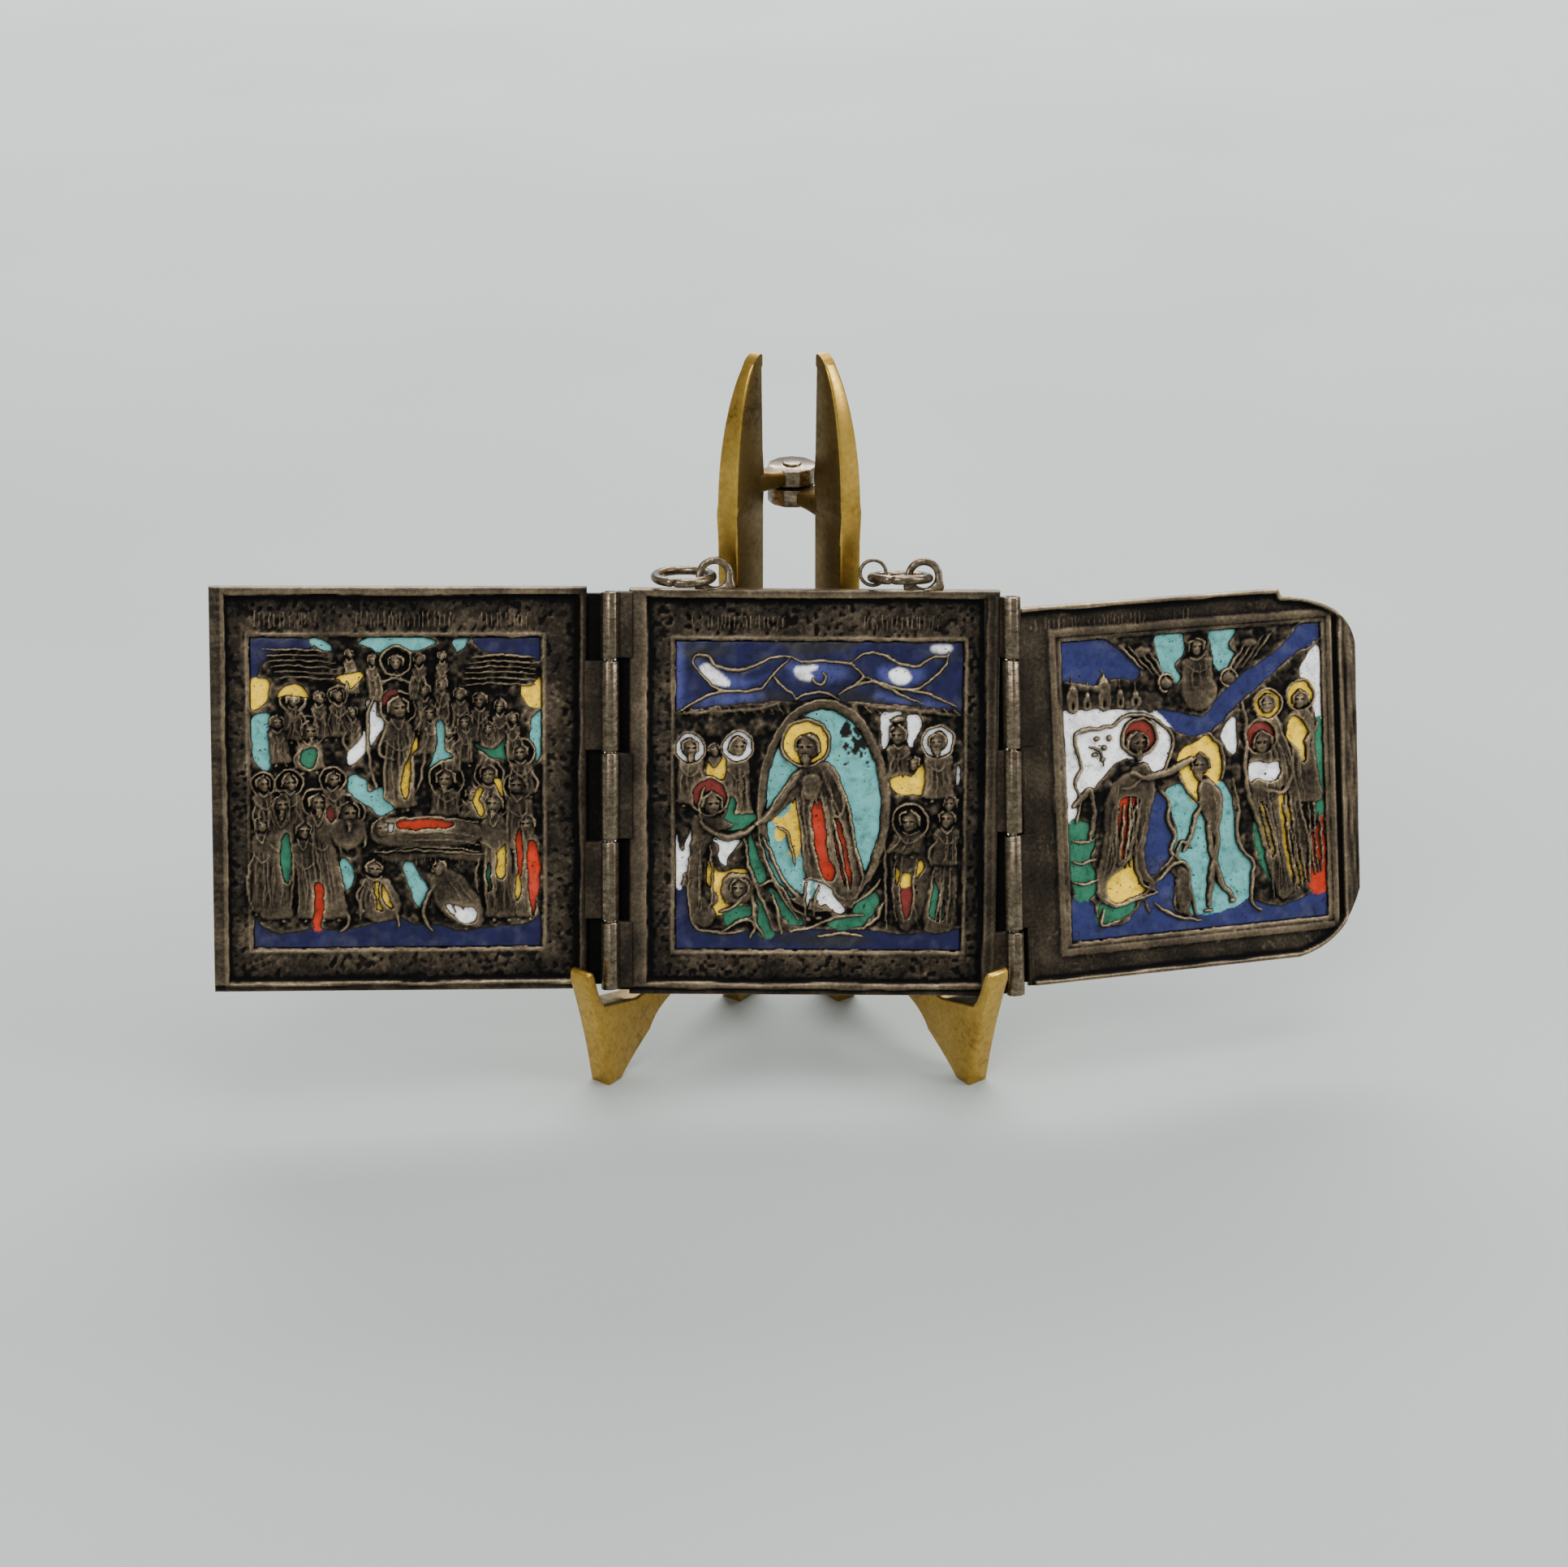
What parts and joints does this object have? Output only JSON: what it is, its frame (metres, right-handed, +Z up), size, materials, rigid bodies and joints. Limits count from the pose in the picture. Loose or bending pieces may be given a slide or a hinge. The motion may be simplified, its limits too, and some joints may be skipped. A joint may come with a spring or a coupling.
{
  "type": "triptych altarpiece",
  "caption": "Small cast-brass travelling icon with three hinged, enamelled leaves and hanging rings, open on a folding two-plate brass easel.",
  "frame": {"origin": "bottom centre of the whole object's box, on the surface it stands on", "axes": "+Z up, +X to the right as seen from the front, +Y away from the viewer"},
  "size_m": [0.1576, 0.0394, 0.0955],
  "materials": {
    "dark_brass": "cast, dark brown patina, rims and arrises worn lighter",
    "worn_brass": "drawn wire and filed knuckles, greyish and worn",
    "gold_brass": "cast, hand finished, satin polish",
    "enamel": "fused glass enamel in cobalt blue, turquoise, yellow, white, red and green"
  },
  "bodies": {
    "stand": {"easel_left_plate": "gold_brass", "easel_right_plate": "gold_brass", "easel_rivet": "gold_brass", "centre_leaf": "dark_brass", "left_hinge_pin": "worn_brass", "right_hinge_pin": "worn_brass", "left_ring": "worn_brass", "right_ring": "worn_brass", "wire_ring": "worn_brass"},
    "left_wing": {"left_wing": "dark_brass"},
    "right_wing": {"right_wing": "dark_brass"}
  },
  "joints": [
    {"name": "left_wing_hinge", "type": "hinge", "parent": "stand", "child": "left_wing", "pos_m": [-0.02559, -0.01618, 0.01377], "axis": [0.0059, 0.3173, 0.9483], "range_deg": [0, 15]},
    {"name": "right_wing_hinge", "type": "hinge", "parent": "stand", "child": "right_wing", "pos_m": [0.02931, -0.01533, 0.01315], "axis": [0.0202, -0.3172, -0.9481], "range_deg": [0, 120]}
  ]
}
